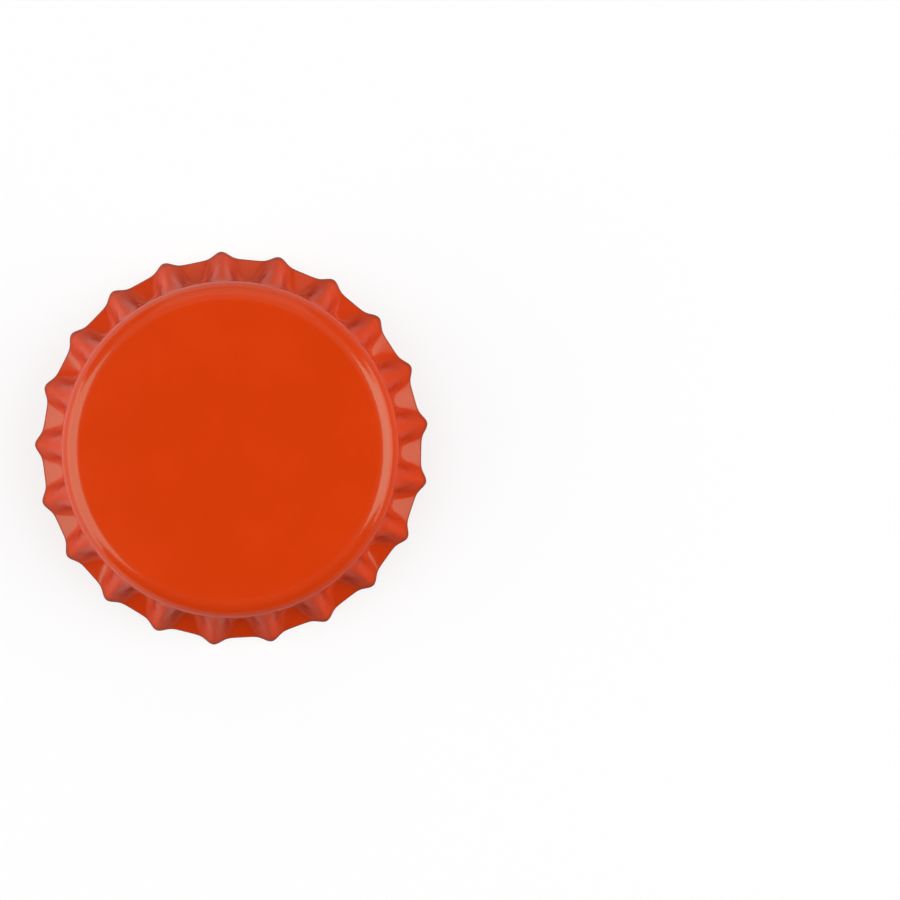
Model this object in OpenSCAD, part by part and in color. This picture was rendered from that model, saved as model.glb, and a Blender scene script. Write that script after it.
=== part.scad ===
// Crown bottle cap: a fluted sheet-metal shell with a moulded sealing liner under its panel.
// The rim lies on z = 0, the panel faces up and the axis of the cap is the z axis.

/* [Shell] */
// Diameter over the tooth tips
rim_d = 32.1; // [31:0.1:34]
// Height from the rim to the top of the panel
cap_h = 6; // [5.6:0.1:7]
// Inside diameter of the neck, which seats over the lip of a bottle
neck_bore_d = 26.75; // [26:0.05:27.5]
// Thickness of the sheet
wall = 0.235; // [0.18:0.005:0.3]
// Outside radius of the corner between panel and neck
corner_r = 1.7; // [1.3:0.1:2]
// Radius of the shallow dome of the panel
dome_r = 300; // [200:10:400]
// Height of the straight neck between the corner and the skirt
neck_h = 0.3; // [0.2:0.05:0.5]

/* [Teeth] */
// Number of teeth round the skirt
teeth = 21; // [15:3:27]
// Depth of the valleys between the teeth, at the rim
tooth_depth = 0.6; // [0.3:0.05:0.9]
// Angle of the first tooth from the x axis
first_tooth_angle = 7.4; // [0:0.1:17]

/* [Liner] */
// Diameter of the liner
liner_d = 24.9; // [24:0.1:25.4]
// Thickness of the film in the middle
film_t = 0.3; // [0.2:0.05:0.4]
// Thickness of the outer sealing pad
pad_t = 1; // [0.7:0.05:1.2]
// Width of the outer sealing pad
pad_w = 1.4; // [1:0.1:1.8]
// Thickness of the inner sealing bead
bead_t = 0.8; // [0.6:0.05:1]
// Width of the inner sealing bead
bead_w = 0.6; // [0.4:0.05:0.8]
// Width of the groove between bead and pad
groove_w = 0.35; // [0.2:0.05:0.6]

/* [Hidden] */

bore_r = neck_bore_d / 2;
neck_r = bore_r + wall;
tip_r = rim_d / 2;
valley_r = tip_r - tooth_depth;

// Centres of the dome and of the corner, which the dome meets in a smooth line
dome_z = cap_h - dome_r;
corner_x = neck_r - corner_r;
corner_z = dome_z + sqrt(pow(dome_r - corner_r, 2) - pow(corner_x, 2));
neck_z = corner_z - neck_h;

// The skirt stands a hair further out than the neck and laps over its lower edge
lap_h = 0.2;
lap_step = 0.01;
skirt_z = neck_z - lap_h / 2;
skirt_neck_r = neck_r + lap_step;

// Start and softness of the outward bend on the crest and in the valley, as shares of the skirt's height
crest_bend_shares = [0.02, 0.05];
valley_bend_shares = [0.62, 0.04];
// Half width of a tooth under the neck and at the rim, as the sine of half its turn: the valleys are triangles
tooth_shares = [1.15, 0.72];
tooth_power = 3;
// Rounding of the crests and of the folds beside the valleys: crisp under the neck, soft at the rim
crest_shares = [0.2, 0.4];
fold_shares = [0.1, 0.3];
soft_power = 6;
// Columns of facets to a tooth and rows down the skirt, one of which lies along the bend of the valleys
columns_per_tooth = 12;
rows = 9;
bend_row = 5;
columns = teeth * columns_per_tooth;
// Small steps in share of height and in angle for the slopes of the skirt
slope_step_share = 0.001;
slope_step_angle = 0.01;

liner_r = liner_d / 2;
pad_edge_r = 0.25;
// Rounding of the bead's lower edges, as a share of its width
bead_edge_share = 0.4;
bead_x = liner_r - pad_w - groove_w - bead_w / 2;
pad_z = dome_height(liner_r - pad_w) - pad_t;
bead_z = dome_height(bead_x) - bead_t;

round_fn = 240;
dome_fn = 1440;

// Height of the panel's underside at radius x
function dome_height(x) = dome_z + sqrt(pow(dome_r - wall, 2) - pow(x, 2));

// A curve from 0 to 1 that runs straight down, bends and then slopes straight out to the rim
function reach(share, bend) = share - bend[0] + sqrt(pow(share - bend[0], 2) + pow(bend[1], 2));
function flare(share, bend) =
    (reach(share, bend) - reach(0, bend)) / (reach(1, bend) - reach(0, bend));

// A value that changes from the neck to the rim, more and more towards the rim
function between(ends, share, power) = ends[0] + (ends[1] - ends[0]) * pow(share, power);

// Height of a tooth, 0 in the valley and 1 on the crest, over one turn of the angle
function rise(sine, tooth, crest, fold) =
    let (inward = 1 - sqrt(pow(sine, 2) + pow(crest, 2)) / tooth)
    inward + sqrt(pow(inward, 2) + pow(fold, 2));
function ridge(turn, tooth, crest, fold) =
    let (
        low = rise(1, tooth, crest, fold),
        high = rise(0, tooth, crest, fold)
    )
    (rise(sin(turn / 2), tooth, crest, fold) - low) / (high - low);

// Outer radius of the skirt at a share of its height down from the neck
function skirt_r(share, turn) =
    let (
        low_r = skirt_neck_r + (valley_r - skirt_neck_r) * flare(share, valley_bend_shares),
        high_r = skirt_neck_r + (tip_r - skirt_neck_r) * flare(share, crest_bend_shares),
        tooth = between(tooth_shares, share, tooth_power),
        crest = between(crest_shares, share, soft_power),
        fold = between(fold_shares, share, soft_power)
    )
    low_r + (high_r - low_r) * ridge(turn, tooth, crest, fold);

// Slopes of the skirt down its height and round its girth
function slope_down(share, turn) =
    (skirt_r(share + slope_step_share, turn) - skirt_r(share, turn)) / (slope_step_share * skirt_z);
function slope_round(share, turn) =
    (skirt_r(share, turn + slope_step_angle) - skirt_r(share, turn - slope_step_angle)) * teeth * 180
    / (2 * slope_step_angle * PI * skirt_r(share, turn));

// Inner radius of the skirt, one sheet away from the outer face along its normal
function inside_r(share, turn) =
    skirt_r(share, turn)
    - wall * sqrt(1 + pow(slope_down(share, turn), 2) + pow(slope_round(share, turn), 2));

function turn_of(column) = 360 * column / columns_per_tooth;
function share_of(row) =
    row < bend_row
    ? valley_bend_shares[0] * row / bend_row
    : 1 - (1 - valley_bend_shares[0]) * (rows - row) / (rows - bend_row);
function on_ring(radius, turn, z) =
    let (angle = first_tooth_angle + turn / teeth)
    [radius * cos(angle), radius * sin(angle), z];

// Outline of the cap's half section, moved in from the outer face
module half_section(inset) {
    tangent_x = (dome_r - inset) * corner_x / (dome_r - corner_r);
    intersection() {
        translate([0, dome_z])
            circle(r = dome_r - inset, $fn = dome_fn);
        translate([0, neck_z])
            square([tangent_x, cap_h - neck_z]);
    }
    intersection() {
        translate([corner_x, corner_z])
            circle(r = corner_r - inset, $fn = round_fn);
        translate([corner_x, corner_z])
            square([corner_r, corner_r]);
    }
    translate([0, neck_z])
        square([neck_r - inset, corner_z - neck_z]);
}

// Panel, corner and neck
module dome() {
    rotate_extrude($fn = round_fn)
        difference() {
            half_section(0);
            half_section(wall);
        }
}

// The fluted skirt, as rings of points down the outside and back up the inside
module skirt() {
    outside = [for (row = [0:rows])
        let (share = share_of(row), z = skirt_z * (1 - share))
        [for (column = [0:columns - 1])
            on_ring(skirt_r(share, turn_of(column)), turn_of(column), z)]];
    inside = [for (row = [rows:-1:0])
        let (share = share_of(row), z = skirt_z * (1 - share))
        [for (column = [0:columns - 1])
            on_ring(inside_r(share, turn_of(column)), turn_of(column), z)]];
    lap_outside = [for (column = [0:columns - 1])
        on_ring(skirt_neck_r, turn_of(column), skirt_z + lap_h)];
    lap_inside = [for (column = [0:columns - 1])
        on_ring(skirt_neck_r - wall, turn_of(column), skirt_z + lap_h)];
    rings = concat([lap_outside], outside, inside, [lap_inside]);
    count = len(rings);
    points = [for (ring = rings) for (point = ring) point];
    faces = [for (ring = [0:count - 1]) for (column = [0:columns - 1])
        let (
            next_ring = (ring + 1) % count,
            next_column = (column + 1) % columns,
            a = ring * columns + column,
            b = ring * columns + next_column,
            c = next_ring * columns + next_column,
            d = next_ring * columns + column
        )
        each [[a, b, c], [a, c, d]]];
    polyhedron(points = points, faces = faces);
}

module crown_shell() {
    color([0.83, 0.25, 0.07]) {
        dome();
        skirt();
    }
}

// Section of a moulded ring that hangs below the panel, with a rounded lower edge
module ring_section(x, z, width, edge_r) {
    translate([x, z + edge_r])
        square([width, cap_h - z]);
    translate([x + edge_r, z])
        square([width - 2 * edge_r, edge_r]);
    translate([x + edge_r, z + edge_r])
        circle(r = edge_r, $fn = round_fn);
    translate([x + width - edge_r, z + edge_r])
        circle(r = edge_r, $fn = round_fn);
}

module liner() {
    color([0.72, 0.74, 0.7])
        rotate_extrude($fn = round_fn)
            intersection() {
                half_section(wall);
                union() {
                    difference() {
                        translate([0, neck_z])
                            square([liner_r - pad_edge_r, cap_h - neck_z]);
                        translate([0, dome_z])
                            circle(r = dome_r - wall - film_t, $fn = dome_fn);
                    }
                    ring_section(liner_r - pad_w, pad_z, pad_w, pad_edge_r);
                    ring_section(bead_x - bead_w / 2, bead_z, bead_w, bead_w * bead_edge_share);
                }
            }
}

crown_shell();
liner();
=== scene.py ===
"""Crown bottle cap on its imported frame: lacquered and bare tinplate, a moulded liner, and a studio floor,
lights and camera."""

import math

import bpy
import numpy as np
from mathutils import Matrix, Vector


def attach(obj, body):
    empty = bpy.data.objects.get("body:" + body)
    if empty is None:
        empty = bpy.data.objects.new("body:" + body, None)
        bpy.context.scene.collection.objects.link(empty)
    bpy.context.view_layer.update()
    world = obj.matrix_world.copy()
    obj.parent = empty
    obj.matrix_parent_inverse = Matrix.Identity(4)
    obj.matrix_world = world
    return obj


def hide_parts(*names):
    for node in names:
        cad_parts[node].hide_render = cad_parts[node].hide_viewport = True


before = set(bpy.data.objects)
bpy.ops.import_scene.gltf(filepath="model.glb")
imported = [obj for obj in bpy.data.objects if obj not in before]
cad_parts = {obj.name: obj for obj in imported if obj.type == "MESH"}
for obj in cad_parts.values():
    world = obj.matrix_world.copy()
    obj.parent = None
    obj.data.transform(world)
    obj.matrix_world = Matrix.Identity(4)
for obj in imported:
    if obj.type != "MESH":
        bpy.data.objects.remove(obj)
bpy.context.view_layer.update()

MM = 0.001

# Sizes of the shell in millimetres, as in the solids
TIP_R = 16.05
VALLEY_R = 15.45
CAP_H = 6.0
WALL = 0.235
BORE_R = 13.375
NECK_R = BORE_R + WALL
CORNER_R = 1.7
DOME_R = 300.0
NECK_H = 0.3
LAP_H = 0.2
# Rounding of the two corners of the cut edge
EDGE_R = 0.04

# Centres of the dome and of the corner, and the top of the skirt
DOME_Z = CAP_H - DOME_R
CORNER_X = NECK_R - CORNER_R
CORNER_Z = DOME_Z + math.sqrt((DOME_R - CORNER_R) ** 2 - CORNER_X**2)
SKIRT_Z = CORNER_Z - NECK_H - LAP_H / 2

# Number of teeth and angle of the first, as in the solids
TEETH = 21
FIRST_TOOTH = math.radians(7.4)
# Start and softness of the outward bend on the crest and in the valley, as shares of the skirt's height
CREST_START = 0.02
CREST_BEND = 0.05
VALLEY_START = 0.62
VALLEY_BEND = 0.04
# Half width of a tooth under the neck and at the rim, as the sine of half its turn
NECK_WIDTH = 1.15
RIM_WIDTH = 0.72
WIDTH_POWER = 3.0
# Rounding of the crests and of the folds beside the valleys, under the neck and at the rim
NECK_ROUND = 0.2
RIM_ROUND = 0.4
NECK_FOLD = 0.1
RIM_FOLD = 0.3
SOFT_POWER = 6.0

# Sizes of the liner in millimetres, as in the solids, and small fillets at the foot of its rings
LINER_R = 12.45
FILM_T = 0.3
PAD_T = 1.0
PAD_W = 1.4
PAD_EDGE_R = 0.25
BEAD_T = 0.8
BEAD_W = 0.6
BEAD_EDGE_R = 0.24
GROOVE_W = 0.35
FILLET_R = 0.12

# Small step in share of height and in angle, for slopes
STEP = 1e-4

# Fineness of the meshes: the shell's columns crowd on the crests, its rows at the bends of the skirt
COLUMNS_PER_TOOTH = 32
CREST_CROWDING = 0.5
COLUMNS = TEETH * COLUMNS_PER_TOOTH
PANEL_ROWS = 5
CORNER_ROWS = 20
NECK_ROWS = 2
FIRST_SKIRT_ROW = PANEL_ROWS + CORNER_ROWS + NECK_ROWS
BEND_ROWS = 20
RIM_ROWS = 16
RIM_CROWDING = 1.5
EDGE_ROWS = 3
LINER_COLUMNS = 240
FILM_ROWS = 16
ARC_STEPS = 6

# Shine of the lacquer at the foot of the corner, on the neck and on the crests
CORNER_SHINE = 0.5
NECK_SHINE = 0.05
CREST_SHINE = 0.65
# Where the flanks lie in the turn of a tooth, how far they reach, how soon they end at the rim
# and how dull they are
FLANK_AT = math.radians(84)
FLANK_REACH = math.radians(26)
FLANK_POWER = 3
FLANK_DULL = 0.9
# Painted shade on the lacquer: how much its colour is darkened on the whole skirt, and how much more on the
# flanks, where the teeth shade each other
SKIRT_PAINTED_SHADE = 0.09
FLANK_PAINTED_SHADE = 0.55
# Painted shade along the rim, for the shadow under it: its darkness on the rows of the tips above the rim
TIP_SHADE_FADE = (0.7, 0.45, 0.25, 0.1)

LACQUER_ROUGH = 0.15
LACQUER_IOR = 1.5
LACQUER_SPECULAR = 0.5
LACQUER_TINT = (0.15, 1.0, 0.75, 1)
# Stops of the colour ramps, as places along the ramp and colours
LACQUER_COLORS = ((0.3, (0.695, 0.045, 0.0022, 1)), (0.7, (0.735, 0.049, 0.0032, 1)))
# Dark red that the painted shade on the skirt mixes in
PAINTED_SHADE_COLOR = (0.4, 0.018, 0.0012, 1)
# Dark brown of the painted shade along the rim
RIM_SHADE_COLOR = (0.25, 0.03, 0.008, 1)
# Scale and detail of the noises, and with a relief its strength
LACQUER_CLOUD = (180.0, 4.0)
LACQUER_PEEL = (1800.0, 2.0, 0.05)

TINPLATE_ROUGH = 0.3
TINPLATE_COLORS = ((0.3, (0.50, 0.47, 0.36, 1)), (0.7, (0.62, 0.60, 0.49, 1)))
TINPLATE_CLOUD = (400.0, 6.0)

LINER_ROUGH = 0.42
LINER_IOR = 1.5
# Film, bead, groove and pad, as shares of the liner's radius
LINER_COLORS = (
    (0.795, (0.300, 0.305, 0.280, 1)),
    (0.815, (0.500, 0.510, 0.480, 1)),
    (0.855, (0.470, 0.480, 0.455, 1)),
    (0.873, (0.330, 0.340, 0.315, 1)),
    (0.895, (0.470, 0.490, 0.480, 1)),
    (0.970, (0.500, 0.525, 0.525, 1)),
)
LINER_TONES = ((0.3, (0.93, 0.93, 0.93, 1)), (0.7, (1, 1, 1, 1)))
LINER_CLOUD = (320.0, 5.0)
LINER_GRAIN = (2500.0, 2.0, 0.15)

# Depth of the reliefs in metres
RELIEF_DEPTH = 0.00002

# Half side of the floor in metres
FLOOR_HALF = 1.5
# Share of light that the floor sends back and its own glow: seen directly, in a gloss,
# and as light on the cap
FLOOR_SEEN = 0.3
FLOOR_GLOSSY_FAR = 0.25
FLOOR_GLOSSY_NEAR = 0.95
FLOOR_BOUNCE = 0.65
GLOW_SEEN = 0.7
GLOW_GLOSSY = 0.0
GLOW_BOUNCE = 0.0
# Painted light and shade on the floor as seen in a gloss: where it is paler, and about how far from the
# cap's axis it is so in full, in metres
PALE_TOWARDS = (-0.9, 0.45, 0)
PALE_REACH = 0.03

# Azimuth and zenith angle in degrees, distance, width and height in metres, and radiance of each lamp:
# a softbox and a dimmer card below it on either side, and a dim card at the back
LAMPS = {
    "softbox_left": (187, 50, 0.6, 0.6, 0.48, 2.55),
    "card_left": (187, 81, 0.6, 0.7, 0.18, 2.5),
    "softbox_right": (2, 51, 0.6, 0.5, 0.43, 3.25),
    "card_right": (2, 79, 0.6, 0.7, 0.21, 2.05),
    "card_back": (90, 65, 0.6, 0.6, 0.42, 0.55),
}

# Brightness of the sky by the cosine of the zenith angle: a ring from above, dark where the camera stands
SKY_STOPS = ((0.5, 0.12), (0.72, 0.345), (0.95, 0.345), (0.99, 0.03))
# Share of it at the front and at the back, and the reach of the change between them
SKY_FRONT = 0.42
SKY_BACK = 1.32
SKY_REACH = 0.5

# Camera: almost straight above, over the middle of the picture, with the cap to its left
CAMERA_HEIGHT = 0.5
VIEW_WIDTH = 0.07319
AIM = Vector((0.01773, -0.00012, 0))
LEAN = math.radians(1.2)
SENSOR_WIDTH = 36.0

# Sockets of a Mix node, whose names repeat
FACTOR, FLOAT_A, FLOAT_B, COLOR_A, COLOR_B = 0, 2, 3, 6, 7
FLOAT_OUT, COLOR_OUT = 0, 2


def flare(share, start, bend):
    """Share of the way out to the rim: straight down at first, then a bend and a straight slope."""
    def reach(x):
        return x - start + math.sqrt((x - start) ** 2 + bend**2)
    return (reach(share) - reach(0)) / (reach(1) - reach(0))


def ridge(turn, width, rounding, fold):
    """One tooth round the skirt, from 0 in the valleys to 1 on the crest."""
    def rise(sine):
        inward = 1 - np.sqrt(sine**2 + rounding**2) / width
        return inward + np.sqrt(inward**2 + fold**2)
    return (rise(np.sin(turn / 2)) - rise(1)) / (rise(0) - rise(1))


def skirt_radius(share, angle):
    """Outer radius of the skirt, at a share of its height below the neck."""
    low = NECK_R + (VALLEY_R - NECK_R) * flare(share, VALLEY_START, VALLEY_BEND)
    high = NECK_R + (TIP_R - NECK_R) * flare(share, CREST_START, CREST_BEND)
    width = NECK_WIDTH + (RIM_WIDTH - NECK_WIDTH) * share**WIDTH_POWER
    rounding = NECK_ROUND + (RIM_ROUND - NECK_ROUND) * share**SOFT_POWER
    fold = NECK_FOLD + (RIM_FOLD - NECK_FOLD) * share**SOFT_POWER
    return low + (high - low) * ridge(TEETH * (angle - FIRST_TOOTH), width, rounding, fold)


def slope_around(share, angle):
    """Slope of the skirt round its girth."""
    change = skirt_radius(share, angle + STEP) - skirt_radius(share, angle - STEP)
    return change / (2 * STEP * skirt_radius(share, angle))


def skirt_inside(share, angle):
    """Inner radius of the skirt, one sheet in from the outer face along its normal."""
    radius = skirt_radius(share, angle)
    down = (skirt_radius(share + STEP, angle) - radius) / (STEP * SKIRT_Z)
    return radius - WALL * np.sqrt(1 + down**2 + slope_around(share, angle) ** 2)


def crest(angle):
    """How near a place is to the crest of a tooth: 1 on it, 0 in the middle of the valleys."""
    return 0.5 + 0.5 * np.cos(TEETH * (angle - FIRST_TOOTH))


def flank(share, angle):
    """How much a place is a flank of a tooth: 1 beside the crest, 0 on it, in valleys and at the rim."""
    turn = np.arccos(np.cos(TEETH * (angle - FIRST_TOOTH)))
    return np.exp(-(((turn - FLANK_AT) / FLANK_REACH) ** 2)) * (1 - share**FLANK_POWER)


def skirt_shine(share, angle):
    """Shine of the lacquer on the skirt: full in the valleys, less on the crests, least on the flanks."""
    return (1 - (1 - CREST_SHINE) * crest(angle)) * (1 - FLANK_DULL * flank(share, angle))


def column_angles():
    """Angles of the mesh's columns, which lie closest together on the crests."""
    turn = np.arange(COLUMNS_PER_TOOTH) * 2 * math.pi / COLUMNS_PER_TOOTH
    turn = turn - CREST_CROWDING * np.sin(turn)
    return np.concatenate([FIRST_TOOTH + (2 * math.pi * tooth + turn) / TEETH for tooth in range(TEETH)])


def row_shares():
    """Shares of the skirt's height for the mesh's rows, which lie closest together at the bends."""
    upper = [VALLEY_START * (0.5 - 0.5 * math.cos(math.pi * i / BEND_ROWS)) for i in range(BEND_ROWS)]
    steps = [(i / RIM_ROWS) ** RIM_CROWDING for i in range(RIM_ROWS + 1)]
    return upper + [VALLEY_START + (1 - VALLEY_START) * step for step in steps]


def meridian(inset):
    """Rings of the panel, corner and neck as (radius, height), moved in from the outer face."""
    tilt = math.asin(CORNER_X / (DOME_R - CORNER_R))
    dome_r, corner_r = DOME_R - inset, CORNER_R - inset
    rings = []
    for i in range(1, PANEL_ROWS + 1):
        a = tilt * i / PANEL_ROWS
        rings.append((dome_r * math.sin(a), DOME_Z + dome_r * math.cos(a)))
    for i in range(1, CORNER_ROWS + 1):
        a = tilt + (math.pi / 2 - tilt) * i / CORNER_ROWS
        rings.append((CORNER_X + corner_r * math.sin(a), CORNER_Z + corner_r * math.cos(a)))
    for i in range(1, NECK_ROWS + 1):
        rings.append((NECK_R - inset, CORNER_Z - (CORNER_Z - SKIRT_Z) * i / (NECK_ROWS + 1)))
    return rings


def shell_rings(angle, shares):
    """Rings of the outside, the cut edge and the inside, as the radii and heights of their points."""
    flat = np.ones(COLUMNS)
    outer = [(r * flat, z * flat) for r, z in meridian(0)]
    outer += [(skirt_radius(s, angle), SKIRT_Z * (1 - s) * flat) for s in shares]
    inner = [(r * flat, z * flat) for r, z in meridian(WALL)]
    inner += [(skirt_inside(s, angle), SKIRT_Z * (1 - s) * flat) for s in shares]
    # the cut edge is square, with its two corners a little rounded
    lift = EDGE_R * flat
    share = 1 - EDGE_R / SKIRT_Z
    outer_r, inner_r = skirt_radius(share, angle), skirt_inside(share, angle)
    outer[-1], inner[-1] = (outer_r, lift), (inner_r, lift)
    turns = [math.pi / 2 * i / EDGE_ROWS for i in range(1, EDGE_ROWS + 1)]
    edge = [(outer_r - EDGE_R * (1 - math.cos(a)), lift * (1 - math.sin(a))) for a in turns]
    edge += [(inner_r + EDGE_R * (1 - math.cos(a)), lift * (1 - math.sin(a))) for a in turns[::-1]]
    return outer, edge, inner[::-1]


def shell_faces(ring_count, inside_from):
    """Faces between the rings and at the axis, and their materials: 0 outside and 1 inside."""
    n = COLUMNS
    last = 1 + (ring_count - 1) * n
    faces = [(0, 1 + c, 1 + (c + 1) % n) for c in range(n)]
    kinds = [0] * n
    for k in range(ring_count - 1):
        here, there = 1 + k * n, 1 + (k + 1) * n
        faces += [(here + c, there + c, there + (c + 1) % n, here + (c + 1) % n) for c in range(n)]
        kinds += [0 if k < inside_from else 1] * n
    faces += [(last + c, last + n, last + (c + 1) % n) for c in range(n)]
    kinds += [1] * n
    return faces, kinds


def shell_looks(angle, shares, ring_count):
    """Shine, painted shade on the skirt and painted shade along the rim of the lacquer at each point of the
    shell.
    """
    def ring(row):
        return slice(1 + row * COLUMNS, 1 + (row + 1) * COLUMNS)

    count = 2 + ring_count * COLUMNS
    shine = np.ones(count, np.float32)
    painted_shade, edge = np.zeros(count, np.float32), np.zeros(count, np.float32)
    # the shine fades over the lower half of the corner
    for i in range(1, CORNER_ROWS + 1):
        fade = max(0.0, 2 * i / CORNER_ROWS - 1)
        shine[ring(PANEL_ROWS + i - 1)] = 1 - (1 - CORNER_SHINE) * fade
    for i in range(NECK_ROWS):
        shine[ring(PANEL_ROWS + CORNER_ROWS + i)] = NECK_SHINE
    for row, share in enumerate(shares, FIRST_SKIRT_ROW):
        shine[ring(row)] = skirt_shine(share, angle)
        # painted shade: the whole skirt a little darker, the flanks more, where the teeth shade each other
        painted_shade[ring(row)] = SKIRT_PAINTED_SHADE + FLANK_PAINTED_SHADE * flank(share, angle)
    # painted shade along the rim, for the shadow under it: full on the last row, fading out over the last
    # rows of the tips
    rim = FIRST_SKIRT_ROW + len(shares) - 1
    edge[ring(rim)] = 1
    for i, amount in enumerate(TIP_SHADE_FADE, 1):
        edge[ring(rim - i)] = amount * crest(angle) ** 2
    return {"shine": shine, "painted_shade": painted_shade, "edge": edge}


def smooth_mesh(name, points, faces):
    """A smooth mesh from points in millimetres."""
    mesh = bpy.data.meshes.new(name)
    mesh.from_pydata([tuple(MM * x for x in p) for p in points], [], faces)
    mesh.polygons.foreach_set("use_smooth", [True] * len(faces))
    return mesh


def shell_mesh():
    """The pressed shell as one closed mesh."""
    angle, shares = column_angles(), row_shares()
    outer, edge, inner = shell_rings(angle, shares)
    rings = outer + edge + inner
    points = [(0.0, 0.0, CAP_H)]
    for radius, z in rings:
        points += list(zip(radius * np.cos(angle), radius * np.sin(angle), z))
    points.append((0.0, 0.0, CAP_H - WALL))
    faces, kinds = shell_faces(len(rings), len(outer) - 1)
    mesh = smooth_mesh("crown_shell", points, faces)
    mesh.polygons.foreach_set("material_index", kinds)
    for name, values in shell_looks(angle, shares, len(rings)).items():
        mesh.attributes.new(name, "FLOAT", "POINT").data.foreach_set("value", values)
    mesh.update()
    return mesh


def arc(x, z, radius, start, end):
    """Points of a round in a section; the angles are in degrees."""
    turns = [math.radians(start + (end - start) * i / ARC_STEPS) for i in range(ARC_STEPS + 1)]
    return [(x + radius * math.cos(a), z + radius * math.sin(a)) for a in turns]


def under_panel(x, depth):
    """Height of a surface below the underside of the panel, at radius x."""
    return DOME_Z + math.sqrt((DOME_R - WALL - depth) ** 2 - x * x)


def along_panel(end, depth):
    """Points of a section along the panel, from the axis to just before a radius."""
    places = [end * i / FILM_ROWS for i in range(FILM_ROWS)]
    return [(x, under_panel(x, depth)) for x in places]


def liner_section():
    """Half section of the liner: film, bead, groove, pad, then back along the panel."""
    pad_in = LINER_R - PAD_W
    bead_out = pad_in - GROOVE_W
    bead_in = bead_out - BEAD_W
    pad_z = under_panel(pad_in, 0) - PAD_T
    bead_z = under_panel((bead_in + bead_out) / 2, 0) - BEAD_T
    film_end = bead_in - FILLET_R
    groove_z = under_panel(pad_in, FILM_T) - FILLET_R
    section = along_panel(film_end, FILM_T)
    section += arc(film_end, under_panel(film_end, FILM_T) - FILLET_R, FILLET_R, 90, 0)
    section += arc(bead_in + BEAD_EDGE_R, bead_z + BEAD_EDGE_R, BEAD_EDGE_R, 180, 270)
    section += arc(bead_out - BEAD_EDGE_R, bead_z + BEAD_EDGE_R, BEAD_EDGE_R, 270, 360)
    section += arc(bead_out + FILLET_R, groove_z, FILLET_R, 180, 90)
    section += arc(pad_in - FILLET_R, groove_z, FILLET_R, 90, 0)
    section += arc(pad_in + PAD_EDGE_R, pad_z + PAD_EDGE_R, PAD_EDGE_R, 180, 270)
    section += arc(LINER_R - PAD_EDGE_R, pad_z + PAD_EDGE_R, PAD_EDGE_R, 270, 360)
    corner = math.degrees(math.acos((LINER_R - CORNER_X) / (CORNER_R - WALL)))
    section += arc(CORNER_X, CORNER_Z, CORNER_R - WALL, corner, 90)
    section += along_panel(CORNER_X, 0)[::-1]
    return section


def liner_mesh():
    """The moulded liner, turned from its section."""
    section = liner_section()
    angle = np.arange(LINER_COLUMNS) * 2 * math.pi / LINER_COLUMNS
    n, count = LINER_COLUMNS, len(section) - 2
    points = [(0.0, 0.0, section[0][1])]
    for x, z in section[1:-1]:
        points += [(x * math.cos(a), x * math.sin(a), z) for a in angle]
    points.append((0.0, 0.0, section[-1][1]))
    faces = [(0, 1 + (c + 1) % n, 1 + c) for c in range(n)]
    for k in range(count - 1):
        here, there = 1 + k * n, 1 + (k + 1) * n
        faces += [(here + c, here + (c + 1) % n, there + (c + 1) % n, there + c) for c in range(n)]
    last = 1 + (count - 1) * n
    faces += [(last + c, last + (c + 1) % n, last + n) for c in range(n)]
    mesh = smooth_mesh("liner", points, faces)
    mesh.update()
    return mesh


def principled(name, **values):
    """A material with one Principled shader, its node tree and the shader."""
    material = bpy.data.materials.new(name)
    material.use_nodes = True
    shader = material.node_tree.nodes["Principled BSDF"]
    for key, value in values.items():
        shader.inputs[key.replace("_", " ")].default_value = value
    return material, material.node_tree, shader


def attribute(tree, name):
    """A value that the points of the mesh carry."""
    node = tree.nodes.new("ShaderNodeAttribute")
    node.attribute_name = name
    return node.outputs["Fac"]


def noise(tree, scale, detail):
    """A noise in the piece's own space."""
    place = tree.nodes.new("ShaderNodeTexCoord")
    node = tree.nodes.new("ShaderNodeTexNoise")
    node.inputs["Scale"].default_value = scale
    node.inputs["Detail"].default_value = detail
    tree.links.new(place.outputs["Object"], node.inputs["Vector"])
    return node.outputs["Fac"]


def ramp(tree, value, stops):
    """A colour that follows a value along the stops of a ramp."""
    node = tree.nodes.new("ShaderNodeValToRGB")
    elements = node.color_ramp.elements
    for i, (at, color) in enumerate(stops):
        # a new ramp has two stops already
        stop = elements[i] if i < 2 else elements.new(at)
        stop.position, stop.color = at, color
    tree.links.new(value, node.inputs["Fac"])
    return node.outputs["Color"]


def relief(tree, shader, scale, detail, strength):
    """Gives a shader a fine relief."""
    bump = tree.nodes.new("ShaderNodeBump")
    bump.inputs["Strength"].default_value = strength
    bump.inputs["Distance"].default_value = RELIEF_DEPTH
    tree.links.new(noise(tree, scale, detail), bump.inputs["Height"])
    tree.links.new(bump.outputs["Normal"], shader.inputs["Normal"])


def passage(tree, value, reach, start, end):
    """A node that goes from start to end while a value goes from -reach to reach."""
    node = tree.nodes.new("ShaderNodeMapRange")
    node.inputs["From Min"].default_value = -reach
    node.inputs["From Max"].default_value = reach
    node.inputs["To Min"].default_value = start
    node.inputs["To Max"].default_value = end
    tree.links.new(value, node.inputs["Value"])
    return node


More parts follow.
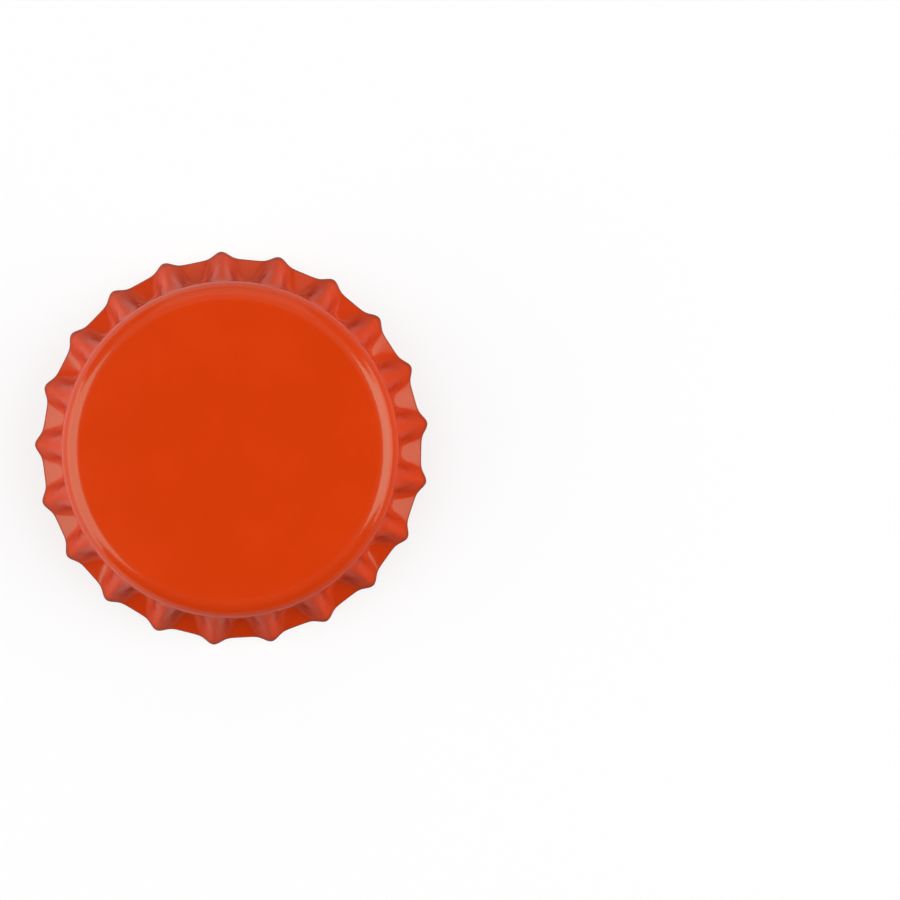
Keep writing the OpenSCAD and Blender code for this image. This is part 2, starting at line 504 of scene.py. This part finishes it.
def lacquer():
    """Orange lacquer: duller on the skirt, darkened by painted shade on the skirt, most on its flanks, and
    along the rim.
    """
    material, tree, shader = principled(
        "orange_lacquer", Roughness=LACQUER_ROUGH, IOR=LACQUER_IOR, Specular_Tint=LACQUER_TINT)
    color = ramp(tree, noise(tree, *LACQUER_CLOUD), LACQUER_COLORS)
    # mixes in the painted shade on the skirt, then the painted shade along the rim
    for name, other in (("painted_shade", PAINTED_SHADE_COLOR), ("edge", RIM_SHADE_COLOR)):
        blend = tree.nodes.new("ShaderNodeMix")
        blend.data_type = "RGBA"
        blend.inputs[COLOR_B].default_value = other
        tree.links.new(attribute(tree, name), blend.inputs[FACTOR])
        tree.links.new(color, blend.inputs[COLOR_A])
        color = blend.outputs[COLOR_OUT]
    tree.links.new(color, shader.inputs["Base Color"])
    gloss = tree.nodes.new("ShaderNodeMath")
    gloss.operation = "MULTIPLY"
    gloss.inputs[1].default_value = LACQUER_SPECULAR
    tree.links.new(attribute(tree, "shine"), gloss.inputs[0])
    tree.links.new(gloss.outputs["Value"], shader.inputs["Specular IOR Level"])
    relief(tree, shader, *LACQUER_PEEL)
    return material


def tinplate():
    """Bare tinplate, with a faint golden cloud."""
    material, tree, shader = principled("bare_tinplate", Metallic=1.0, Roughness=TINPLATE_ROUGH)
    color = ramp(tree, noise(tree, *TINPLATE_CLOUD), TINPLATE_COLORS)
    tree.links.new(color, shader.inputs["Base Color"])
    return material


def plastic():
    """Pale liner plastic: the thin film lets the metal show through, the thick rings are whiter."""
    material, tree, shader = principled("liner_plastic", Roughness=LINER_ROUGH, IOR=LINER_IOR)
    place = tree.nodes.new("ShaderNodeTexCoord")
    flat = tree.nodes.new("ShaderNodeVectorMath")
    flat.operation = "MULTIPLY"
    flat.inputs[1].default_value = (1, 1, 0)
    length = tree.nodes.new("ShaderNodeVectorMath")
    length.operation = "LENGTH"
    share = tree.nodes.new("ShaderNodeMath")
    share.operation = "DIVIDE"
    share.inputs[1].default_value = MM * LINER_R
    tree.links.new(place.outputs["Object"], flat.inputs[0])
    tree.links.new(flat.outputs["Vector"], length.inputs[0])
    tree.links.new(length.outputs["Value"], share.inputs[0])
    blend = tree.nodes.new("ShaderNodeMix")
    blend.data_type, blend.blend_type = "RGBA", "MULTIPLY"
    blend.inputs[FACTOR].default_value = 1.0
    tree.links.new(ramp(tree, share.outputs["Value"], LINER_COLORS), blend.inputs[COLOR_A])
    tree.links.new(ramp(tree, noise(tree, *LINER_CLOUD), LINER_TONES), blend.inputs[COLOR_B])
    tree.links.new(blend.outputs[COLOR_OUT], shader.inputs["Base Color"])
    relief(tree, shader, *LINER_GRAIN)
    return material


def by_ray(tree, seen, glossy, other):
    """A value that differs for rays that see the floor directly, that see it in a gloss, and others."""
    path = tree.nodes.new("ShaderNodeLightPath")
    direct = tree.nodes.new("ShaderNodeMath")
    direct.operation = "MAXIMUM"
    first = tree.nodes.new("ShaderNodeMix")
    first.inputs[FLOAT_A].default_value, first.inputs[FLOAT_B].default_value = other, seen
    second = tree.nodes.new("ShaderNodeMix")
    tree.links.new(path.outputs["Is Camera Ray"], direct.inputs[0])
    tree.links.new(path.outputs["Is Transmission Ray"], direct.inputs[1])
    tree.links.new(direct.outputs["Value"], first.inputs[FACTOR])
    tree.links.new(path.outputs["Is Glossy Ray"], second.inputs[FACTOR])
    tree.links.new(first.outputs[FLOAT_OUT], second.inputs[FLOAT_A])
    if isinstance(glossy, float):
        second.inputs[FLOAT_B].default_value = glossy
    else:
        tree.links.new(glossy, second.inputs[FLOAT_B])
    return second.outputs[FLOAT_OUT]


def floor_paint():
    """White floor with a soft shadow; in a gloss it has painted light, paler towards the left and the back,
    and painted shade elsewhere.
    """
    material = bpy.data.materials.new("white_floor")
    material.use_nodes = True
    tree = material.node_tree
    tree.nodes.clear()
    out = tree.nodes.new("ShaderNodeOutputMaterial")
    diffuse = tree.nodes.new("ShaderNodeBsdfDiffuse")
    glow = tree.nodes.new("ShaderNodeEmission")
    both = tree.nodes.new("ShaderNodeAddShader")
    place = tree.nodes.new("ShaderNodeNewGeometry")
    along = tree.nodes.new("ShaderNodeVectorMath")
    along.operation = "DOT_PRODUCT"
    along.inputs[1].default_value = PALE_TOWARDS
    tree.links.new(place.outputs["Position"], along.inputs[0])
    # painted light and shade in a gloss: the floor's share goes from dark to pale towards the left and the
    # back
    fade = passage(tree, along.outputs["Value"], PALE_REACH, FLOOR_GLOSSY_FAR, FLOOR_GLOSSY_NEAR)
    fade.interpolation_type = "SMOOTHSTEP"
    share = by_ray(tree, FLOOR_SEEN, fade.outputs["Result"], FLOOR_BOUNCE)
    tree.links.new(share, diffuse.inputs["Color"])
    tree.links.new(by_ray(tree, GLOW_SEEN, GLOW_GLOSSY, GLOW_BOUNCE), glow.inputs["Strength"])
    tree.links.new(diffuse.outputs["BSDF"], both.inputs[0])
    tree.links.new(glow.outputs["Emission"], both.inputs[1])
    tree.links.new(both.outputs["Shader"], out.inputs["Surface"])
    return material


def floor_mesh():
    """A square floor under the rim."""
    mesh = bpy.data.meshes.new("floor")
    corners = [(x * FLOOR_HALF, y * FLOOR_HALF, 0) for x, y in ((-1, -1), (1, -1), (1, 1), (-1, 1))]
    mesh.from_pydata(corners, [], [(0, 1, 2, 3)])
    return mesh


def add(name, mesh, materials):
    """Adds a piece with its materials to the scene."""
    piece = bpy.data.objects.new(name, mesh)
    bpy.context.scene.collection.objects.link(piece)
    for material in materials:
        mesh.materials.append(material)
    return piece


def softbox(name, azimuth, zenith, distance, width, height, radiance):
    """Adds a rectangular lamp that faces the cap from an azimuth and a zenith angle in degrees."""
    lamp = bpy.data.lights.new(name, "AREA")
    lamp.shape = "RECTANGLE"
    lamp.size, lamp.size_y = width, height
    lamp.energy = radiance * math.pi * width * height
    piece = bpy.data.objects.new(name, lamp)
    a, z = math.radians(azimuth), math.radians(zenith)
    towards = Vector((math.sin(z) * math.cos(a), math.sin(z) * math.sin(a), math.cos(z)))
    piece.location = towards * distance
    piece.rotation_mode = "QUATERNION"
    piece.rotation_quaternion = (-piece.location).to_track_quat("-Z", "Y")
    bpy.context.scene.collection.objects.link(piece)


def sky():
    """A world with a ring of light from above, brighter at the back than at the front."""
    world = bpy.data.worlds.new("studio")
    world.use_nodes = True
    tree = world.node_tree
    background = tree.nodes["Background"]
    place = tree.nodes.new("ShaderNodeTexCoord")
    split = tree.nodes.new("ShaderNodeSeparateXYZ")
    tree.links.new(place.outputs["Generated"], split.inputs["Vector"])
    stops = [(at, (level, level, level, 1)) for at, level in SKY_STOPS]
    tree.links.new(ramp(tree, split.outputs["Z"], stops), background.inputs["Color"])
    slant = passage(tree, split.outputs["Y"], SKY_REACH, SKY_FRONT, SKY_BACK)
    tree.links.new(slant.outputs["Result"], background.inputs["Strength"])
    return world


def photo_camera():
    """The camera of the photograph."""
    camera = bpy.data.cameras.new("camera")
    camera.sensor_width = SENSOR_WIDTH
    camera.lens = SENSOR_WIDTH * CAMERA_HEIGHT / VIEW_WIDTH
    camera.clip_start, camera.clip_end = 0.01, 10.0
    piece = bpy.data.objects.new("camera", camera)
    bpy.context.scene.collection.objects.link(piece)
    piece.location = AIM + Vector((0, math.sin(LEAN), math.cos(LEAN))) * CAMERA_HEIGHT
    piece.rotation_euler = (-LEAN, 0, 0)
    return piece


shell = add("shell", shell_mesh(), [lacquer(), tinplate()])
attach(shell, "root")
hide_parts("crown_shell")
liner = add("liner", liner_mesh(), [plastic()])
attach(liner, "root")
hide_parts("liner")

floor = add("floor", floor_mesh(), [floor_paint()])

for lamp_name, lamp_values in LAMPS.items():
    softbox(lamp_name, *lamp_values)
bpy.context.scene.world = sky()
bpy.context.scene.camera = photo_camera()
bpy.context.scene.view_settings.view_transform = "Standard"
